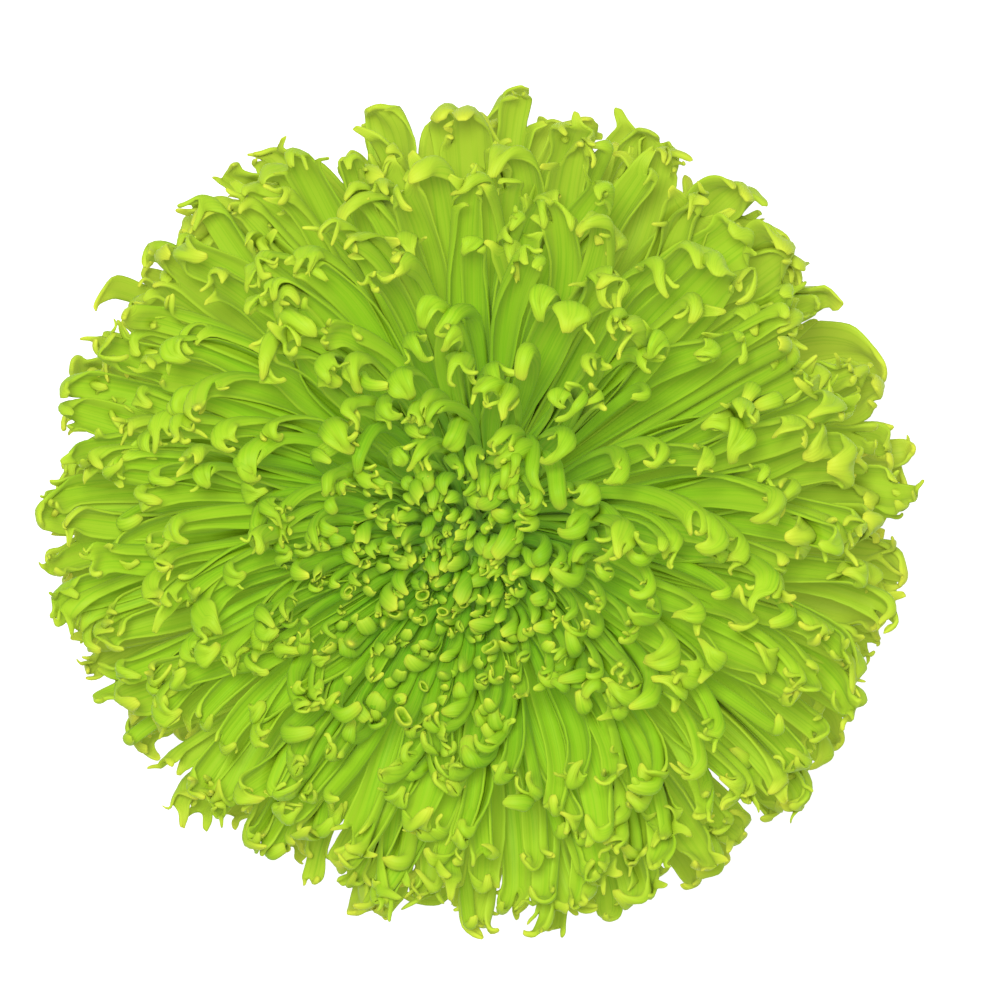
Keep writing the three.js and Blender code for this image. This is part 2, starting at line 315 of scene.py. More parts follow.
def petalFinish(name, looks):
    n = Nodes(name)
    age, along, across = n.attribute("age"), n.attribute("along"), n.attribute("across")
    tip, seed = n.attribute("tip"), n.attribute("seed")

    # young florets are green and old ones yellow-green, and all are darker towards the root, painted shade
    # for the depth between the florets
    aged = n.plus(age, n.times(n.minus(seed, 0.5), looks["ageSpread"]))
    stops = [(0.0, looks["young"]), (looks["middleAge"], looks["middle"]), (1.0, looks["old"])]
    colour = n.ramp(aged, stops)
    # painted shade: darker towards the root, and less so on older florets
    rootShade = n.minus(looks["rootShadeReach"], n.times(along, looks["rootShadeFall"]))
    rootShade = n.atMost(n.atLeast(rootShade, 0.0), 1.0)
    rootShade = n.times(rootShade, n.minus(looks["rootShadeDepth"], n.times(aged, looks["rootShadeFade"])))
    colour = n.mix(rootShade, colour, looks["root"], "MULTIPLY")

    # pale and dark streaks run the length of the floret
    where = n.stretched(n.times(across, looks["veinsAcross"]), n.times(along, looks["veinsAlong"]),
                        n.times(seed, looks["veinsApart"]))
    veins = n.noise(where, looks["veinScale"], looks["veinDetail"])
    streak = n.times(n.minus(veins, 0.5), looks["streaks"])
    colour = n.mix(n.atLeast(streak, 0.0), colour, looks["old"])
    colour = n.mix(n.atLeast(n.times(streak, looks["darkStreaks"]), 0.0), colour, looks["root"], "MULTIPLY")

    # painted highlights: the edges are lighter where they catch the light, and the hoods and lobes are lit
    # up; the ends of the lobes turn yellow, partly their own colour and partly painted highlight, on some
    # florets more than on others
    edge = n.power(n.math("ABSOLUTE", across), looks["edgeNarrow"])
    edge = n.times(edge, n.power(along, looks["edgeLate"]))
    colour = n.mix(n.times(edge, looks["edgeStrength"]), colour, looks["edge"])
    # painted highlight on the hoods and lobes
    colour = n.mix(n.times(tip, looks["tipHighlight"]), colour, looks["edge"])
    # the yellow ends of the lobes, partly their own colour and partly painted highlight
    share = n.plus(n.times(seed, looks["tipSpread"]), looks["tipLeast"])
    colour = n.mix(n.times(n.power(tip, looks["tipNarrow"]), share), colour, looks["tip"])
    return n.surface(colour, n.math("SINE", n.times(across, looks["ridges"])), looks)


petalMaterial = petalFinish("petal", petalLooks)
print("petal finish mixed")


# Meshes

class Sheet:
    # the surface of a piece, with what its finish needs to know at each point
    def __init__(self):
        self.points, self.faces, self.plump = [], [], []
        self.marks = {"age": [], "along": [], "across": [], "tip": [], "seed": []}

    def point(self, place, plump=1, **marks):
        self.points.append(place)
        self.plump.append(plump)
        for key, values in self.marks.items():
            values.append(marks.get(key, 0))
        return len(self.points) - 1

    def strip(self, low, high):
        for a, b, c, d in zip(low, low[1:], high[1:], high):
            self.faces.append((a, b, c, d))

    def tube(self, rings):
        # joins rings of points in turn and closes both ends
        for low, high in zip(rings, rings[1:]):
            self.strip(low + low[:1], high + high[:1])
        self.faces.append(tuple(reversed(rings[0])))
        self.faces.append(tuple(rings[-1]))


def makeMesh(name, sheet, material):
    mesh = bpy.data.meshes.new(name)
    mesh.from_pydata([tuple((np.array(p) + axisFoot) * mm) for p in sheet.points], [], sheet.faces)
    mesh.polygons.foreach_set("use_smooth", [True] * len(mesh.polygons))
    for key, values in sheet.marks.items():
        mesh.attributes.new(key, "FLOAT", "POINT").data.foreach_set("value", values)
    mesh.materials.append(material)
    piece = bpy.data.objects.new(name, mesh)
    bpy.context.scene.collection.objects.link(piece)
    return piece


def roundOff(piece):
    rounded = piece.modifiers.new("rounded", "SUBSURF")
    rounded.levels = rounded.render_levels = 1


def addShell(piece, sheet, thickness):
    # gives an open sheet its flesh, thicker where it is plump
    group = piece.vertex_groups.new(name="plump")
    for index, weight in enumerate(sheet.plump):
        group.add([index], weight, "REPLACE")
    shell = piece.modifiers.new("shell", "SOLIDIFY")
    shell.thickness = thickness * mm
    shell.offset = 0
    shell.vertex_group = "plump"


def makeFlorets(name, florets, form, addOne, node):
    sheet = Sheet()
    for f in florets:
        addOne(sheet, f, form)
    piece = makeMesh(name, sheet, petalMaterial)
    if "thickness" in form:
        addShell(piece, sheet, form["thickness"])
    roundOff(piece)
    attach(piece, "root")
    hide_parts(node)
    print(name, len(florets), "florets,", len(sheet.faces), "faces")


# The spiral in which the florets grow, each in a cell of its own

goldenTurn = math.pi * (3 - math.sqrt(5))
spiral = {
    "lowest": -27,  # elevations are in degrees above level, seen from the heart
    "outerTop": -7,
    "eyeEdge": 57.5,
    "oval": 0.018,  # how much longer the florets are along X than on average
    # how far out the tips stand, as a share of the bloom's radius, and how wide a cell is, by elevation
    "reach": [(-27, 0.925), (0, 0.985), (20, 0.965), (40, 0.834), (58, 0.63), (66, 0.52), (76, 0.462),
              (90, 0.437)],
    "cell": [(-27, 8.3), (-8, 7.6), (8, 6.2), (40, 5.5), (47, 4.6), (53, 3.25), (57, 2.5), (61, 2.2),
             (67, 2.0), (77, 1.9), (90, 1.8)],
    # shares of the florets that stay rolled, and of the eye's florets that have split open
    "rolled": [(0, 0), (12, 0.1), (40, 0.14), (50, 0.22), (54, 0.45), (57, 0.6)],
    "openEye": 0.4,
}


def growSpiral():
    florets = []
    rise = math.sin(math.radians(spiral["lowest"]))
    while rise < 1:
        elevation = math.degrees(math.asin(rise))
        reach = eased(spiral["reach"], elevation) * bloomRadius
        cell = eased(spiral["cell"], elevation)
        i = len(florets)
        longer = 1 + spiral["oval"] * math.cos(2 * i * goldenTurn)
        age = (90 - elevation) / (90 - spiral["lowest"])
        florets.append({
            "i": i,
            "turn": i * goldenTurn,
            "elevation": elevation,
            "reach": reach * longer,
            "cell": cell,
            "marks": {"age": age, "seed": lot(i, 13)},
        })
        rise += cell ** 2 / (2 * math.pi * reach ** 2)
    return florets


def sortFlorets(florets):
    # which piece each floret belongs to
    rows = {"outer": [], "ray": [], "rolled": [], "eye": [], "openEye": []}
    for f in florets:
        elevation, draw = f["elevation"], lot(f["i"], 17)
        if elevation < spiral["outerTop"]:
            rows["outer"].append(f)
        elif elevation < spiral["eyeEdge"]:
            rows["rolled" if draw < eased(spiral["rolled"], elevation) else "ray"].append(f)
        else:
            rows["openEye" if draw < spiral["openEye"] else "eye"].append(f)
    return rows


rows = sortFlorets(growSpiral())
print("spiral grown")

spineForm = {
    "steps": 32,
    "curlSteps": 24,
    "nodFrom": 0.68,  # from here on a floret nods inwards
    "nodLate": 1.5,
    "nodStray": 0.6,
    "veerFrom": 0.5,
}


def walk(angles):
    # how far a path of length 1 goes ahead and aside, when its equal steps turn through these angles
    steps = 2 * (len(angles) - 1)
    ahead = np.concatenate([[0], np.cumsum((np.cos(angles[1:]) + np.cos(angles[:-1])) / steps)])
    aside = np.concatenate([[0], np.cumsum((np.sin(angles[1:]) + np.sin(angles[:-1])) / steps)])
    return ahead, aside


def curlPath(curl, late=1.0):
    # how far a curling tip of length 1 has gone ahead and over at q, and the angle it has turned by there
    places = np.linspace(0, 1, spineForm["curlSteps"] + 1)
    angles = curl * places ** late
    curves = (*walk(angles), angles)
    return lambda q: [float(np.interp(q, places, values)) for values in curves]


def spineOf(f, form):
    # the curve that the middle of a floret follows, as a function of s from the root to the lobes
    i, turn, strays = f["i"], f["turn"], form["strays"]
    elevation = f["elevation"] + strays["elevation"] * wobble(i, 0)
    share, extra = form["rootSpread"]
    root = heart + direction(turn, f["elevation"] * share + extra) * form["rootRadius"]
    root[2] += eased(form["rootRaise"], elevation)
    reach = f["reach"] * (1 + strays["reach"] * (wobble(i, 6) - 0.5)) - form["hookInset"] * f["cell"]
    end = heart + direction(turn + math.radians(strays["turn"] * wobble(i, 2)), elevation) * reach
    end[2] = max(end[2], form["restHeight"])
    chord = end - root
    span = math.sqrt(chord @ chord)
    along = chord / span
    inward = direction(turn, elevation + 90)
    inward = unit(inward - along * (inward @ along))
    side = np.cross(along, inward)
    roll = math.radians(strays["roll"] * wobble(i, 5))
    sway, veer = strays["sway"] * wobble(i, 4), strays["veer"] * wobble(i, 10)
    veerFrom = spineForm["veerFrom"]

    # the curve turns inwards all along, and more in its last part, below the lobes
    arch = math.radians(2 * (eased(form["arch"], elevation) + strays["arch"] * wobble(i, 3)))
    nod = math.radians(eased(form["nod"], elevation) * (1 + spineForm["nodStray"] * wobble(i, 1)))
    places = np.linspace(0, 1, spineForm["steps"] + 1)
    nodding = np.clip((places - spineForm["nodFrom"]) / (1 - spineForm["nodFrom"]), 0, None)
    turned = arch * places + nod * nodding ** spineForm["nodLate"]
    ahead, aside = walk(turned)
    lift = math.atan2(aside[-1], ahead[-1])
    size = span / math.hypot(ahead[-1], aside[-1])

    def at(s):
        a, b, angle = (float(np.interp(s, places, values)) for values in (ahead, aside, turned))
        angle -= lift
        c, d = math.cos(lift), math.sin(lift)
        late = max(0, s - veerFrom) / (1 - veerFrom)
        place = root + along * (size * (a * c + b * d)) + inward * (size * (b * c - a * d))
        place = place + side * (sway * smooth(s) + veer * late ** 2)
        slant = (6 * sway * s * (1 - s) + 2 * veer * late / (1 - veerFrom)) / size
        heading = unit(along * math.cos(angle) + inward * math.sin(angle) + side * slant)
        up = unit(inward * math.cos(angle) - along * math.sin(angle))
        up = unit(up - heading * (up @ heading))
        beside = np.cross(heading, up)
        return place, heading, turnAbout(up, heading, roll * s), turnAbout(beside, heading, roll * s)

    return at


# Ray florets: channelled straps, rolled into a tube at the root, whose tips split into curled lobes

rayForm = {
    "rootRadius": 8.5,
    "rootSpread": (0.82, 0),  # the root's elevation: this share of the floret's own, plus degrees
    "rootRaise": [(-27, -1.65), (-8, -1.65), (4, 1.1), (60, 1.1)],
    "arch": [(-27, -6), (-8, 2), (5, 6), (45, 8), (60, 12)],
    "nod": [(-27, 8), (-8, 15), (15, 25), (45, 32), (60, 40)],
    "width": [(-27, 1.42), (0, 1.32), (40, 1.38), (50, 1.5), (57, 1.6)],  # of the cell, round the channel
    "rootWidth": 0.36,
    "neck": (0.02, 0.64),  # where the strap starts to widen, and where it is widest
    "belly": 0.68,  # from here on it narrows again, towards a tip that is pinched
    "bellyPinch": 0.5,
    "tube": 145,  # half angle of the section at the root
    "unrolls": (0.1, 0.6),  # where the tube starts to open out, and over what share of the strap
    "channel": [(-27, 56), (0, 78), (30, 91), (60, 109)],  # half angle of the section where the lobes start
    "channelMost": 150,
    "ruffle": 0.24,
    "ruffleWaves": (13, 2, 40),  # along, across and from floret to floret
    "hood": [(-27, 48), (-8, 64), (15, 82), (45, 92), (60, 92)],  # degrees that its wide end bends over
    "hoodLength": 1.05,
    "hoodSwell": 0.06,
    "hoodClose": 0.25,
    # how far the tip mark rises along the hood: the hood's painted highlight, and the start of its yellowing
    "hoodPale": 0.32,
    "pleat": 0.27,
    "pleatWaves": (1.5, 4),  # half waves from the middle to an edge, and how they shift from floret to floret
    "hook": [(-27, 62), (-8, 75), (15, 92), (40, 100), (60, 100)],  # degrees that the lobes curl by
    "hookInset": 0.45,
    "hookOthers": 0.8,  # how much of that is left for a lobe that doesn't lead
    "hookBack": -1.1,  # and for one that bends back
    "leanOut": 0.9,
    "lobeClose": (0.72, 0.84, 0.93),  # how far the end of a lobe of one, two or more strips closes
    "lobeTaper": 0.1,
    "lobePoint": (0.22, 1.6),  # how wide a pointed lobe ends, and how fast it narrows
    "frill": 0.22,
    "frillWaves": (8, 3, 6),
    "proud": 1.2,  # how far a tip may stand out of the dome
    "drawn": 0.45,  # how much is left of what stands out further
    "restHeight": 1.1,
    "lowest": 0.88,
    "strips": 6,
    "strapRows": (0, 0.32, 0.55, 0.73, 0.88, 1),
    "hoodRows": (0.36, 0.7, 1),
    "lobeRows": (0.35, 0.7, 1),
    "reaches": (0.8, 0.1, 0.1),  # the shares of a floret that are strap, hood and lobes, for the finish
    "strapTip": 0.1,  # how far the strap's end takes the tips' painted highlight and yellow, and how late that comes
    "strapTipLate": 6,
    "thickness": 1.3,
    "strapPlump": 0.36,
    "strapMiddle": 1.12,
    "edgeThin": 0.3,
    "hoodPlump": 0.5,
    "lobePlump": 0.55,
    "plumpFrom": 1.5,
    "thinFrom": 0.7,
    "strays": {"elevation": 3.3, "turn": 7, "arch": 6, "roll": 40, "reach": 0.06, "sway": 3.5, "veer": 3.8,
               "width": 0.22, "flare": 0.1, "skew": 0.22, "channel": 0.2, "hood": 0.22, "hoodLength": 0.25,
               "hook": 0.15, "leader": 0.7},
    "lobeStrays": {"size": 0.3, "curl": 0.3, "pointed": 0.25, "plump": 0.4, "lean": 0.55, "twist": 0.8},
    # how many of each kind of tip there are, by elevation
    "tips": {
        "beak": [(-27, 0.02), (0, 0.12), (25, 0.32), (60, 0.4)],
        "claw": [(-27, 0.1), (0, 0.3), (25, 0.3), (60, 0.3)],
        "cup": [(-27, 0.15), (0, 0.3), (25, 0.36), (60, 0.3)],
        "spoon": [(-27, 0.7), (0, 0.25), (25, 0.02), (60, 0)],
    },
}

# Each kind of tip: how its strips are shared out among lobes, and how the hood and lobes lie
tipForms = {
    "beak": {
        "layouts": [(6,), (1, 5), (5, 1), (1, 4, 1), (4, 2), (2, 4)],
        "wide": 0.95, "open": 1.05, "hood": 1.05, "pinch": 0.5, "leader": 0.8, "others": 0.6, "curl": 0.9,
        "lean": 0.4, "tilt": 0.6, "late": 1.0, "shoulders": 0.3, "bentBack": 0.2, "pointed": 0.45,
    },
    "claw": {
        "layouts": [(2, 2, 2), (1, 3, 2), (2, 3, 1), (3, 3), (2, 2, 1, 1), (1, 3, 1, 1)],
        "wide": 0.92, "open": 1.2, "hood": 0.8, "pinch": 0.3, "leader": 0.9, "others": 0.75, "curl": 1.0,
        "lean": 0.7, "tilt": 1.1, "late": 1.2, "shoulders": 0.45, "bentBack": 0.1, "pointed": 0.5,
    },
    "cup": {
        "layouts": [(1, 2, 2, 1), (2, 2, 2), (2, 1, 1, 2), (1, 2, 1, 2), (3, 3), (2, 1, 3)],
        "wide": 0.95, "open": 1.25, "hood": 0.4, "pinch": 0.1, "leader": 0.8, "others": 0.7, "curl": 1.1,
        "lean": 1.0, "tilt": 0.8, "late": 1.2, "shoulders": 0.4, "bentBack": 0.35, "pointed": 0.5,
    },
    "spoon": {
        "layouts": [(1, 4, 1), (6,), (2, 4), (4, 2), (5, 1)],
        "wide": 1.1, "open": 0.85, "hood": 0.8, "pinch": 0.3, "leader": 0.75, "others": 0.6, "curl": 1.0,
        "lean": 0.2, "tilt": 0.4, "late": 1.3, "shoulders": 0.2, "bentBack": -0.3, "pointed": 0.3,
    },
}


def sectionPoint(here, halfWidth, halfAngle, column):
    # a point of the channelled section, with the heading, normal and tangent there
    place, heading, up, right = here
    theta = halfAngle * column
    radius = halfWidth / halfAngle
    c, s = math.cos(theta), math.sin(theta)
    point = place + right * (radius * s) + up * (radius * (1 - c))
    return point, heading, up * c - right * s, right * c + up * s


def pickTip(i, elevation, form):
    # which kind of tip floret i has, and how many strips each of its lobes takes
    shares = {kind: eased(pairs, elevation) for kind, pairs in form["tips"].items()}
    draw = lot(i, 8) * sum(shares.values())
    for kind, share in shares.items():
        draw -= share
        if draw < 0:
            break
    layouts = tipForms[kind]["layouts"]
    return tipForms[kind], layouts[int(lot(i, 9) * len(layouts)) % len(layouts)]


class Floret:
    # one open floret, added to a sheet as a strap, then a hood, then lobes
    def __init__(self, sheet, f, form):
        self.sheet, self.f, self.form = sheet, f, form
        self.i, elevation, strays = f["i"], f["elevation"], form["strays"]
        self.tip, self.layout = pickTip(self.i, elevation, form)
        self.limit = f["reach"] + form["proud"]
        self.columns = [2 * j / form["strips"] - 1 for j in range(form["strips"] + 1)]
        self.skew = strays["skew"] * self.stray(16)
        wide = f["cell"] * eased(form["width"], elevation) * (1 + strays["width"] * self.stray(7))
        self.half = wide / 2 * self.tip["wide"]
        channel = eased(form["channel"], elevation) * (1 + strays["channel"] * self.stray(12))
        self.channel = math.radians(min(form["channelMost"], channel * self.tip["open"]))
        bend = eased(form["hood"], elevation) * (self.tip["hood"] + strays["hood"] * self.stray(19))
        self.bend = math.radians(bend)
        hook = eased(form["hook"], elevation) * self.tip["curl"]
        self.hook = hook * (1 + strays["hook"] * self.stray(15))

    def stray(self, k):
        return wobble(self.i, k)

    def section(self, end, column):
        return sectionPoint(end["here"], end["width"], end["angle"] * (1 + self.skew * column), column)

    def mark(self, place, plump, **marks):
        # a tip that strays out of the dome is drawn back, and none goes through the ground
        away = place - heart
        distance = math.sqrt(away @ away)
        if distance > self.limit:
            place = heart + away * (self.limit + self.form["drawn"] * (distance - self.limit)) / distance
        place = (place[0], place[1], max(place[2], self.form["lowest"]))
        return self.sheet.point(place, plump, **marks, **self.f["marks"])

    def addStrap(self):
        form, strap = self.form, self.form["reaches"][0]
        at = spineOf(self.f, form)
        tube = math.radians(form["tube"])
        flare = form["strays"]["flare"] * self.stray(18)
        widens, widest = form["neck"]
        opens, opening = form["unrolls"]
        waveAlong, waveAcross, waveShift = form["ruffleWaves"]
        previous = None
        for s in form["strapRows"]:
            widened = smooth((s - flare - widens) / (widest - widens))
            pinched = smooth((s - form["belly"]) / (1 - form["belly"]))
            pinched = 1 - form["bellyPinch"] * self.tip["pinch"] * pinched
            end = {
                "here": at(s),
                "width": self.half * (form["rootWidth"] + (1 - form["rootWidth"]) * widened) * pinched,
                "angle": self.channel + (tube - self.channel) * (1 - smooth((s - opens) / opening)),
                "first": 0,
                "tip": form["strapTip"],
            }
            row = []
            for column in self.columns:
                point, _, normal, _ = self.section(end, column)
                wave = math.sin(waveAlong * s + waveShift * self.stray(14) + waveAcross * column)
                ruffle = form["ruffle"] * self.half * s ** 2 * column ** 2 * wave
                plump = form["strapPlump"] * (form["strapMiddle"] - form["edgeThin"] * column ** 2)
                row.append(self.mark(point + normal * ruffle, plump, along=strap * s, across=column,
                                     tip=form["strapTip"] * s ** form["strapTipLate"]))
            if previous:
                self.sheet.strip(previous, row)
            previous = row
        end["row"] = row
        return end

    def addHood(self, strapEnd, low, high):
        # the end of the strap bends over, pleated, from column low to column high
        form, (strap, hood, _) = self.form, self.form["reaches"]
        place, heading, up, beside = strapEnd["here"]
        length = self.half * form["hoodLength"] * (1 + form["strays"]["hoodLength"] * self.stray(11))
        pleats, pleatShift = form["pleatWaves"]
        path = curlPath(self.bend)
        previous = strapEnd["row"][low:high + 1]
        for h in form["hoodRows"]:
            ahead, over, turned = path(h)
            c, s = math.cos(turned), math.sin(turned)
            onward, inward = heading * c + up * s, up * c - heading * s
            pinched = 1 - self.tip["pinch"] * h * h
            # the tip mark rises along the hood, for its painted highlight and yellowing
            tip = form["strapTip"] + form["hoodPale"] * h
            plump = form["strapPlump"] + (form["hoodPlump"] - form["strapPlump"]) * h
            end = {
                "here": (place + (heading * ahead + up * over) * length, onward, inward, beside),
                "width": strapEnd["width"] * (1 + form["hoodSwell"] * math.sin(math.pi * h)) * pinched,
                "angle": strapEnd["angle"] * (1 + (form["hoodClose"] - self.tip["pinch"]) * h),
                "first": low,
                "tip": tip,
            }
            row = []
            for column in self.columns[low:high + 1]:
                point, _, normal, _ = self.section(end, column)
                wave = math.sin(math.pi * pleats * column + pleatShift * self.stray(26) + h)
                row.append(self.mark(point + normal * (form["pleat"] * self.half * h * wave), plump,
                                     along=strap + hood * h, across=column, tip=tip))
            self.sheet.strip(previous, row)
            previous = row
        end["row"] = row
        return end

    def addLobe(self, end, n, first, count, leads):
        # lobe n takes count strips, from the first one on, and curls over on its own
        form, tipForm, strays = self.form, self.tip, self.form["lobeStrays"]
        middle = (2 * first + count) / form["strips"] - 1
        start, heading, normal, beside = self.section(end, middle)
        size = self.half * tipForm["leader" if leads else "others"]
        size *= 1 + strays["size"] * self.stray(30 + n)
        curl = self.hook * (1 + strays["curl"] * self.stray(40 + n)) * (1 if leads else form["hookOthers"])
        if not leads and self.stray(45 + n) < tipForm["bentBack"]:
            curl *= form["hookBack"]
        pointed = tipForm["pointed"] * (1 + strays["pointed"] * self.stray(80 + n))
        fat = form["lobePlump"] * (1 + strays["plump"] * self.stray(90 + n))
        tilt = tipForm["tilt"] * self.stray(60 + n)
        twist = strays["twist"] * self.stray(70 + n)
        lean = tipForm["lean"] * (form["leanOut"] * middle + strays["lean"] * self.stray(50 + n))
        ahead = unit(heading + beside * lean)
        over = normal * math.cos(tilt) + beside * math.sin(tilt)
        over = unit(over - ahead * (over @ ahead))
        hinge = np.cross(ahead, over)
        close = form["lobeClose"][min(count, 3) - 1]
        narrow, narrowing = form["lobePoint"]
        strap, hood, lobe = form["reaches"]
        waveAlong, waveAcross, waveShift = form["frillWaves"]
        offsets = [self.section(end, column)[0] - start for column in self.columns[first:first + count + 1]]
        previous = end["row"][first - end["first"]:first - end["first"] + count + 1]
        path = curlPath(math.radians(curl), tipForm["late"])
        for q in form["lobeRows"]:
            forward, upward, turned = path(q)
            centre = start + (ahead * forward + over * upward) * size
            facing = ahead * math.cos(turned) + over * math.sin(turned)
            rounded = (1 - form["lobeTaper"] * q) * math.sqrt(1 - (close * q) ** 2)
            narrowed = narrow + (1 - narrow) * (1 - q) ** narrowing
            taper = rounded + (narrowed - rounded) * pointed
            thinned = fat * max(0, q - form["thinFrom"])
            plump = form["hoodPlump"] + (fat - form["hoodPlump"]) * min(1, form["plumpFrom"] * q) - thinned
            row = []
            for j, offset in enumerate(offsets):
                within = 2 * j / count - 1
                away = turnAbout(turnAbout(offset, hinge, turned) * taper, facing, twist * q)
                wave = math.sin(waveAlong * q + waveAcross * within + waveShift * self.stray(100 + n))
                away = away + np.cross(hinge, facing) * (form["frill"] * size * q * within ** 2 * wave)
                row.append(self.mark(centre + away, plump, along=strap + hood + lobe * q, across=within,
                                     tip=end["tip"] + (1 - end["tip"]) * q))
            self.sheet.strip(previous, row)
            previous = row


def addOpen(sheet, f, form):
    floret = Floret(sheet, f, form)
    layout, strips = floret.layout, form["strips"]
    strapEnd = floret.addStrap()

    # one lobe leads, and a side lobe may split off at the strap's end, below the hood
    last = len(layout) - 1
    leader = max(range(last + 1), key=lambda n: layout[n] + form["strays"]["leader"] * floret.stray(20 + n))
    splits = [n for n in {0, last} - {leader} if floret.stray(46 + n) < floret.tip["shoulders"]]
    low = layout[0] if 0 in splits else 0
    high = strips - (layout[last] if last in splits else 0)
    hoodEnd = floret.addHood(strapEnd, low, high)
    first = 0
    for n, count in enumerate(layout):
        floret.addLobe(strapEnd if n in splits else hoodEnd, n, first, count, n == leader)
        first += count


makeFlorets("outerFlorets", rows["outer"], rayForm, addOpen, "outer_florets")
quarter = len(rows["ray"]) // 4 + 1
for number, name in enumerate(["lowestRayFlorets", "lowerRayFlorets", "upperRayFlorets", "innerRayFlorets"]):
    makeFlorets(name, rows["ray"][number * quarter:(number + 1) * quarter], rayForm, addOpen, "ray_florets")

# Rolled florets: narrow hooked tubes among the open ones, some with a lipped mouth, others shut like a bud

rolledForm = {
    "rootRadius": 8.5,
    "rootSpread": (0.82, 0),
    "rootRaise": [(-27, -1.65), (-8, -1.65), (4, 1.1), (60, 1.1)],
    "arch": [(0, 5), (60, 12)],
    "nod": [(0, 35), (45, 50), (60, 60)],
    "width": [(0, 0.42), (40, 0.5), (50, 0.65), (57, 1.0)],
    "rootWidth": 0.4,
    "neck": (0.1, 0.85),
    "strapRows": (0, 0.3, 0.52, 0.7, 0.85, 1),
    "lobeRows": (0.22, 0.45, 0.7, 0.88, 1),
    "reaches": (0.75, 0.25),
    "hook": [(0, 100), (60, 130)],
    "hookInset": 0.34,
    "hookLength": 2.4,
    "endWidth": (0.35, 0.6),  # of a shut end, and of an open one
    "sides": 8,
    "across": 0.7,
    "flat": 0.85,
    "groove": 0.3,
    "grooveFrom": 1.6,
    "grooveNarrow": 4,
    "lip": 0.6,
    "lipLate": 3,
    "lips": 3,
    "slant": 0.7,
    "slantLate": 2,
    "tipLate": 1.5,
    "shut": -0.4,  # draws below this give an end that is still shut
    "tilt": 1.0,
    "restHeight": 1.1,
    "lowest": 0.9,
    # the last rings: how far ahead, how wide, how slanted and how lipped, then their marks along and tip
    "mouth": [(-0.25, 0.62, 1.3, 1, 0.9, 0.5), (-1.1, 0.35, 1, 0, 0.6, 0)],
    "bud": [(0.4, 0.55, 0.6, 0, 1, 1)],
    "strays": {"elevation": 3.2, "turn": 7.5, "arch": 5, "roll": 60, "reach": 0.08, "sway": 3.5, "veer": 4,
               "width": 0.25, "hook": 0.4, "hookLength": 0.3, "end": 0.25, "lips": 3},
}


def addRolled(sheet, f, form):
    i, elevation, strays = f["i"], f["elevation"], form["strays"]
    half = f["cell"] * eased(form["width"], elevation) * (1 + strays["width"] * wobble(i, 7)) / 2
    opened = wobble(i, 22) > form["shut"]
    rings = []

    def ring(place, heading, up, radius, slant, lip, along, tip):
        row = []
        beside = np.cross(heading, up)
        for j in range(form["sides"]):
            around = 2 * math.pi * j / form["sides"]
            c, d = math.cos(around), math.sin(around)
            groove = form["groove"] * max(0, d) ** form["grooveNarrow"] * smooth(along * form["grooveFrom"])
            wave = lip * math.cos(form["lips"] * around + strays["lips"] * wobble(i, 21))
            point = place + (beside * c + up * d * form["flat"]) * radius * (1 - groove)
            point = point + heading * radius * (wave - slant * d)
            row.append(sheet.point((point[0], point[1], max(point[2], form["lowest"])), along=along,
                                   across=form["across"] * c, tip=tip, **f["marks"]))
        rings.append(row)

    at = spineOf(f, form)
    narrow, widest = form["neck"]
    strap, hooked = form["reaches"]
    for s in form["strapRows"]:
        swollen = smooth((s - narrow) / (widest - narrow))
        place, heading, up, beside = at(s)
        radius = half * (form["rootWidth"] + (1 - form["rootWidth"]) * swollen)
        ring(place, heading, up, radius, 0, 0, strap * s, 0)

    tilt = form["tilt"] * wobble(i, 23)
    over = unit(up * math.cos(tilt) + np.cross(heading, up) * math.sin(tilt))
    hook = math.radians(eased(form["hook"], elevation) * (1 + strays["hook"] * wobble(i, 15)))
    length = half * form["hookLength"] * (1 + strays["hookLength"] * wobble(i, 24))
    end = half * form["endWidth"][opened] * (1 + strays["end"] * wobble(i, 25))
    path = curlPath(hook)
    for q in form["lobeRows"]:
        forward, upward, turned = path(q)
        centre = place + (heading * forward + over * upward) * length
        facing = heading * math.cos(turned) + over * math.sin(turned)
        top = over * math.cos(turned) - heading * math.sin(turned)
        slant = form["slant"] * q ** form["slantLate"]
        lip = form["lip"] * q ** form["lipLate"] * opened
        radius = half + (end - half) * q
        # the tip mark grows towards the end, for the painted highlight and yellow of the finish
        ring(centre, facing, top, radius, slant, lip, strap + hooked * q, q ** form["tipLate"])
    for forward, width, slant, lip, along, tip in form["mouth" if opened else "bud"]:
        last = centre + facing * end * forward
        ring(last, facing, top, end * width, form["slant"] * slant, form["lip"] * lip, along, tip)
    sheet.tube(rings)


makeFlorets("rolledFlorets", rows["rolled"], rolledForm, addRolled, "ray_florets")

# The eye: the youngest florets, short and plump, still shut or just opening, nodding over the middle

eyeForm = {
    **rolledForm,
    "rootRadius": 19,
    "rootSpread": (0.85, 13.5),
    "rootRaise": [(0, 0), (90, 0)],
    "arch": [(59, 5), (90, 2)],
    "nod": [(59, 50), (75, 35), (90, 15)],
    "width": [(57, 1.15), (62, 1.25), (90, 1.2)],
    "rootWidth": 0.5,
    "neck": (0.2, 0.95),
    "strapRows": (0, 0.4, 0.75, 1),
    "lobeRows": (0.35, 0.7, 1),
    "hook": [(59, 90), (75, 60), (90, 45)],
    "hookInset": 0.3,
    "hookLength": 1.5,
    "endWidth": (0.35, 0.78),
    "flat": 0.78,
    "groove": 0.35,
    "lip": 0.5,
    "slant": 0.6,
    "shut": 0.1,
    "tilt": 1.2,
    "restHeight": 0,
    "strays": {**rolledForm["strays"], "elevation": 1.2, "turn": 4, "arch": 6, "reach": 0.05, "sway": 0.6,
               "veer": 0.5, "width": 0.26, "hook": 0.85},
}
makeFlorets("eyeFlorets", rows["eye"], eyeForm, addRolled, "eye_florets")

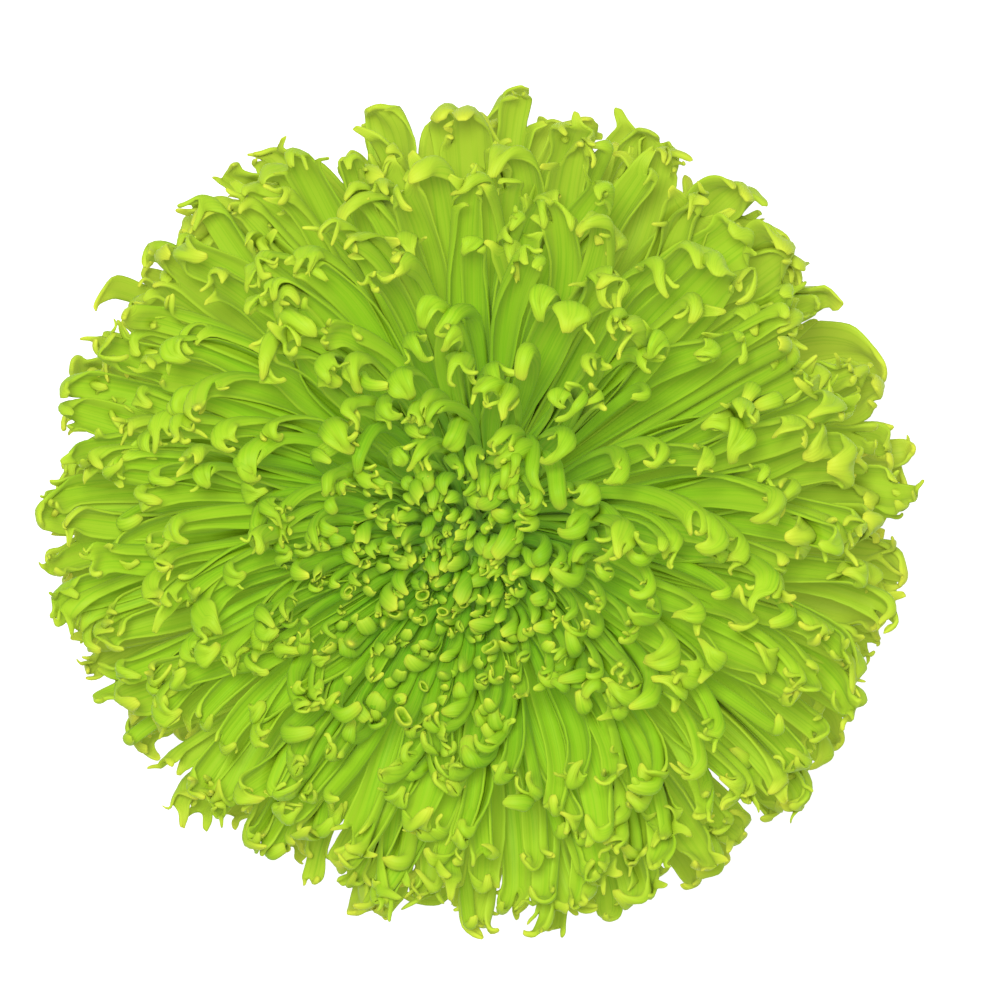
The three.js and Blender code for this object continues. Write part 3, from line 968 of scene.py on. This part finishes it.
openEyeForm = {
    **rayForm,
    "rootRadius": 19,
    "rootSpread": (0.85, 13.5),
    "rootRaise": [(0, 0), (90, 0)],
    "arch": [(59, 5), (90, 2)],
    "nod": [(59, 40), (75, 25), (90, 10)],
    "hood": [(59, 80), (75, 60), (90, 45)],
    "hoodLength": 0.9,
    "hoodPlump": 0.45,
    "width": [(57, 1.6), (62, 1.6), (90, 1.5)],
    "rootWidth": 0.35,
    "channel": [(57, 100), (90, 115)],
    "hook": [(57, 80), (90, 70)],
    "hookInset": 0.4,
    "strapRows": (0, 0.4, 0.75, 1),
    "hoodRows": (0.5, 1),
    "lobeRows": (0.5, 1),
    "strapPlump": 0.3,
    "thickness": 1.1,
    "strays": {**rayForm["strays"], "elevation": 1.2, "turn": 4, "roll": 60, "reach": 0.05, "sway": 0.6,
               "veer": 0.5, "hood": 0.5},
    "tips": {"beak": [(0, 0.35)], "claw": [(0, 0.3)], "cup": [(0, 0.35)]},
}
makeFlorets("openEyeFlorets", rows["openEye"], openEyeForm, addOpen, "eye_florets")

# The receptacle that the florets stand on, seen only deep between them

receptacle = {
    # pairs of radius and height, from the foot up
    "side": [(8.4, 16.9), (10.2, 19.4), (10.6, 24), (9.9, 29), (7.2, 33), (5.5, 35), (6.2, 39), (8.9, 43.2),
             (5, 45.2), (0.6, 46)],
    "sides": 48,
    "pale": (0.36, 0.62, 0.06),
    "deep": (0.13, 0.34, 0.03),
    "spots": 700.0,
    "spotEdge": 0.8,
    "reliefStrength": 0.6,
    "reliefHeight": 0.0003,
    "roughness": 0.6,
    "gloss": 0.1,
}


def turnedSheet(side, sides):
    # a closed surface turned round the axis
    sheet = Sheet()
    rings = []
    for r, (radius, height) in enumerate(side):
        ring = []
        for j in range(sides):
            turn = 2 * math.pi * j / sides
            place = (radius * math.cos(turn), radius * math.sin(turn), height)
            ring.append(sheet.point(place, along=r / (len(side) - 1), seed=j / sides))
        rings.append(ring)
    sheet.tube(rings)
    return sheet


def receptacleFinish(looks):
    n = Nodes("receptacleFlesh")
    where = n.add("ShaderNodeTexCoord").outputs["Object"]
    spots = n.add("ShaderNodeTexVoronoi", {"Scale": looks["spots"], "Vector": where}).outputs["Distance"]
    return n.surface(n.ramp(spots, [(0.0, looks["pale"]), (looks["spotEdge"], looks["deep"])]), spots, looks)


def makeReceptacle(form):
    piece = makeMesh("receptacle", turnedSheet(form["side"], form["sides"]), receptacleFinish(form))
    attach(piece, "root")
    print("receptacle turned")


makeReceptacle(receptacle)

# Calyx: a cup of overlapping bracts with thin dry edges

calyxForm = {
    "cup": [(3.4, 8.6), (3.9, 8.9), (6.6, 10), (8.1, 11.5), (8.8, 12.8), (9.3, 15), (8.8, 16.4)],
    "cupSides": 36,
    "foot": 9.1,
    "tips": (12.4, 14.5, 16.6),  # how high each row of bracts reaches
    "tipStray": 0.4,
    "turnStray": 0.12,
    "count": 12,
    "width": 5.2,
    "footWidth": 0.62,  # of that width at the foot, and how much wider the bract's belly is
    "bellyWidth": 0.5,
    "bellyLow": 1.1,
    "tipClose": 0.94,
    "tipSquare": 4,
    "proud": 0.35,
    "proudTip": 0.4,
    "proudStep": 0.5,  # how much further out the foot of a lower row stands
    "crown": 0.45,  # how far a bract's middle stands above its edges
    "crownFoot": 0.4,
    "spread": 0.7,  # how far its tip stands off the cup
    "spreadLate": 4,
    "narrowest": 4.5,
    "thickness": 0.5,
    "edgeThin": 0.7,
    "tipThin": 0.3,
    "rows": 6,
    "columns": 4,
    "draws": 900,  # the bracts' numbers start here, past those of the florets
    "drawsPerRow": 40,
    "green": (0.12, 0.27, 0.035),
    "midrib": (0.07, 0.18, 0.025),
    "midribNarrow": 7.0,
    "midribStrength": 0.8,
    "papery": (0.50, 0.46, 0.24),
    "paperyEdge": 6.0,
    "paperyTip": 14.0,
    "grainAcross": 14.0,
    "grainAlong": 1.5,
    "grainApart": 50.0,
    "grainScale": 1.5,
    "grainDetail": 4.0,
    "grainStrength": 0.35,
    "reliefStrength": 0.6,
    "reliefHeight": 0.00015,
    "roughness": 0.62,
    "gloss": 0.3,
}


def bractFinish(looks):
    n = Nodes("bract")
    along, across, seed = n.attribute("along"), n.attribute("across"), n.attribute("seed")
    where = n.stretched(n.times(across, looks["grainAcross"]), n.times(along, looks["grainAlong"]),
                        n.times(seed, looks["grainApart"]))
    grain = n.noise(where, looks["grainScale"], looks["grainDetail"])
    rib = n.power(n.minus(1.0, n.math("ABSOLUTE", across)), looks["midribNarrow"])
    colour = n.mix(n.times(rib, looks["midribStrength"]), looks["green"], looks["midrib"])
    colour = n.mix(n.times(grain, looks["grainStrength"]), colour, looks["midrib"])
    rim = n.plus(n.power(n.math("ABSOLUTE", across), looks["paperyEdge"]), n.power(along, looks["paperyTip"]))
    rim = n.atMost(n.times(rim, n.plus(grain, 0.5)), 1.0)
    return n.surface(n.mix(rim, colour, looks["papery"]), n.plus(grain, rib), looks)


def addBract(sheet, form, row, k):
    # bract k of a row, counted from the lowest
    radii = [(height, radius) for radius, height in form["cup"]]
    above = len(form["tips"]) - 1 - row
    draws = form["draws"] + form["drawsPerRow"] * row + k
    turn = 2 * math.pi * (k + 0.5 * row + form["turnStray"] * wobble(draws, 1)) / form["count"]
    reach = form["tips"][row] + form["tipStray"] * wobble(draws, 2)
    previous = None
    for r in range(form["rows"] + 1):
        t = r / form["rows"]
        height = form["foot"] + (reach - form["foot"]) * t
        belly = form["footWidth"] + form["bellyWidth"] * math.sin(math.pi * min(t * form["bellyLow"], 1))
        width = form["width"] * belly * math.sqrt(1 - (form["tipClose"] * t) ** form["tipSquare"])
        proud = form["proud"] * (form["proudTip"] + form["proudStep"] * above * (1 - t))
        crown = form["crown"] * (form["crownFoot"] + (1 - form["crownFoot"]) * t)
        ring = []
        for j in range(form["columns"] + 1):
            c = 2 * j / form["columns"] - 1
            radius = eased(radii, height) + proud + crown * (1 - c * c)
            radius += form["spread"] * t ** form["spreadLate"]
            here = turn + width * c / 2 / max(radius, form["narrowest"])
            plump = 1 - form["edgeThin"] * c ** 2 * t - form["tipThin"] * t
            place = (radius * math.cos(here), radius * math.sin(here), height)
            ring.append(sheet.point(place, plump, along=t, across=c, seed=lot(draws, 3)))
        if previous:
            sheet.strip(previous, ring)
        previous = ring


def makeCalyx(form):
    material = bractFinish(form)
    cup = makeMesh("calyxCup", turnedSheet(form["cup"], form["cupSides"]), material)
    sheet = Sheet()
    for row in range(len(form["tips"])):
        for k in range(form["count"]):
            addBract(sheet, form, row, k)
    bracts = makeMesh("calyxBracts", sheet, material)
    addShell(bracts, sheet, form["thickness"])
    for piece in (cup, bracts):
        roundOff(piece)
        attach(piece, "root")
        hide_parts("calyx")
    print("calyx made,", form["count"] * len(form["tips"]), "bracts")


makeCalyx(calyxForm)

# Stem: a ribbed green stub with a clean cut across its foot

stemForm = {
    "radius": 3.15,
    "groove": 0.35,
    "grooveNarrow": 1.5,
    "ribs": 9,
    "sides": 90,
    "side": [(0.86, 0.0), (0.97, 0.12), (1, 0.45), (1, 2.5), (1, 5), (1.01, 7.2), (1.1, 8.5), (1.35, 9.3)],
    "cut": [(0.3, 0.1), (0.62, 0.05), (0.8, 0.0)],  # rings across the cut, from the pith outwards
    "smoothTo": 0.7,  # rings narrower than this share of the radius have no grooves
    "pithward": 1.2,  # the mark of a ring on the cut: this less its share of the radius
    "cutFrom": 0.4,  # marks above this lie on the cut
    "skin": (0.15, 0.30, 0.05),
    "rib": (0.26, 0.42, 0.09),
    "pith": (0.62, 0.66, 0.42),
    "cutGreen": (0.34, 0.46, 0.16),
    "pithEdge": (0.5, 0.75),
    "grainScale": (900, 900, 90),
    "grainDetail": 3.0,
    "grainStrength": 0.4,
    "pores": 2600.0,
    "poreStrength": 0.5,
    "reliefStrength": 0.5,
    "reliefHeight": 0.0001,
    "roughness": 0.5,
    "gloss": 0.5,
}


def stemFinish(looks):
    n = Nodes("stemSkin")
    place = n.add("ShaderNodeTexCoord").outputs["Object"]
    rib, pith = n.attribute("across"), n.attribute("tip")
    long = n.add("ShaderNodeMapping", {"Vector": place, "Scale": looks["grainScale"]}).outputs[0]
    grain = n.noise(long, 1.0, looks["grainDetail"])
    pores = n.add("ShaderNodeTexVoronoi", {"Vector": place, "Scale": looks["pores"]}).outputs["Distance"]
    skin = n.mix(rib, looks["skin"], looks["rib"])
    skin = n.mix(n.times(grain, looks["grainStrength"]), skin, looks["skin"])
    rindward, pithward = looks["pithEdge"]
    flesh = n.ramp(pith, [(rindward, looks["cutGreen"]), (pithward, looks["pith"])])
    flesh = n.mix(n.times(pores, looks["poreStrength"]), flesh, looks["cutGreen"])
    colour = n.mix(n.math("GREATER_THAN", pith, looks["cutFrom"]), skin, flesh)
    return n.surface(colour, n.plus(grain, pores), looks)


def makeStem(form):
    sheet = Sheet()
    rings = []
    levels = [(share, height, form["pithward"] - share) for share, height in form["cut"]]
    levels += [(share, height, 0) for share, height in form["side"]]
    for share, height, pith in levels:
        ring = []
        for j in range(form["sides"]):
            turn = 2 * math.pi * j / form["sides"]
            crest = 0.5 + 0.5 * math.cos(form["ribs"] * turn)
            groove = form["groove"] * (1 - crest) ** form["grooveNarrow"] * (share > form["smoothTo"])
            radius = share * (form["radius"] - groove)
            place = (radius * math.cos(turn), radius * math.sin(turn), height)
            ring.append(sheet.point(place, across=crest, tip=pith))
        rings.append(ring)
    sheet.tube(rings)
    stem = makeMesh("stemStub", sheet, stemFinish(form))
    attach(stem, "root")
    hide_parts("stem")
    print("stem made,", form["ribs"], "ribs")


makeStem(stemForm)
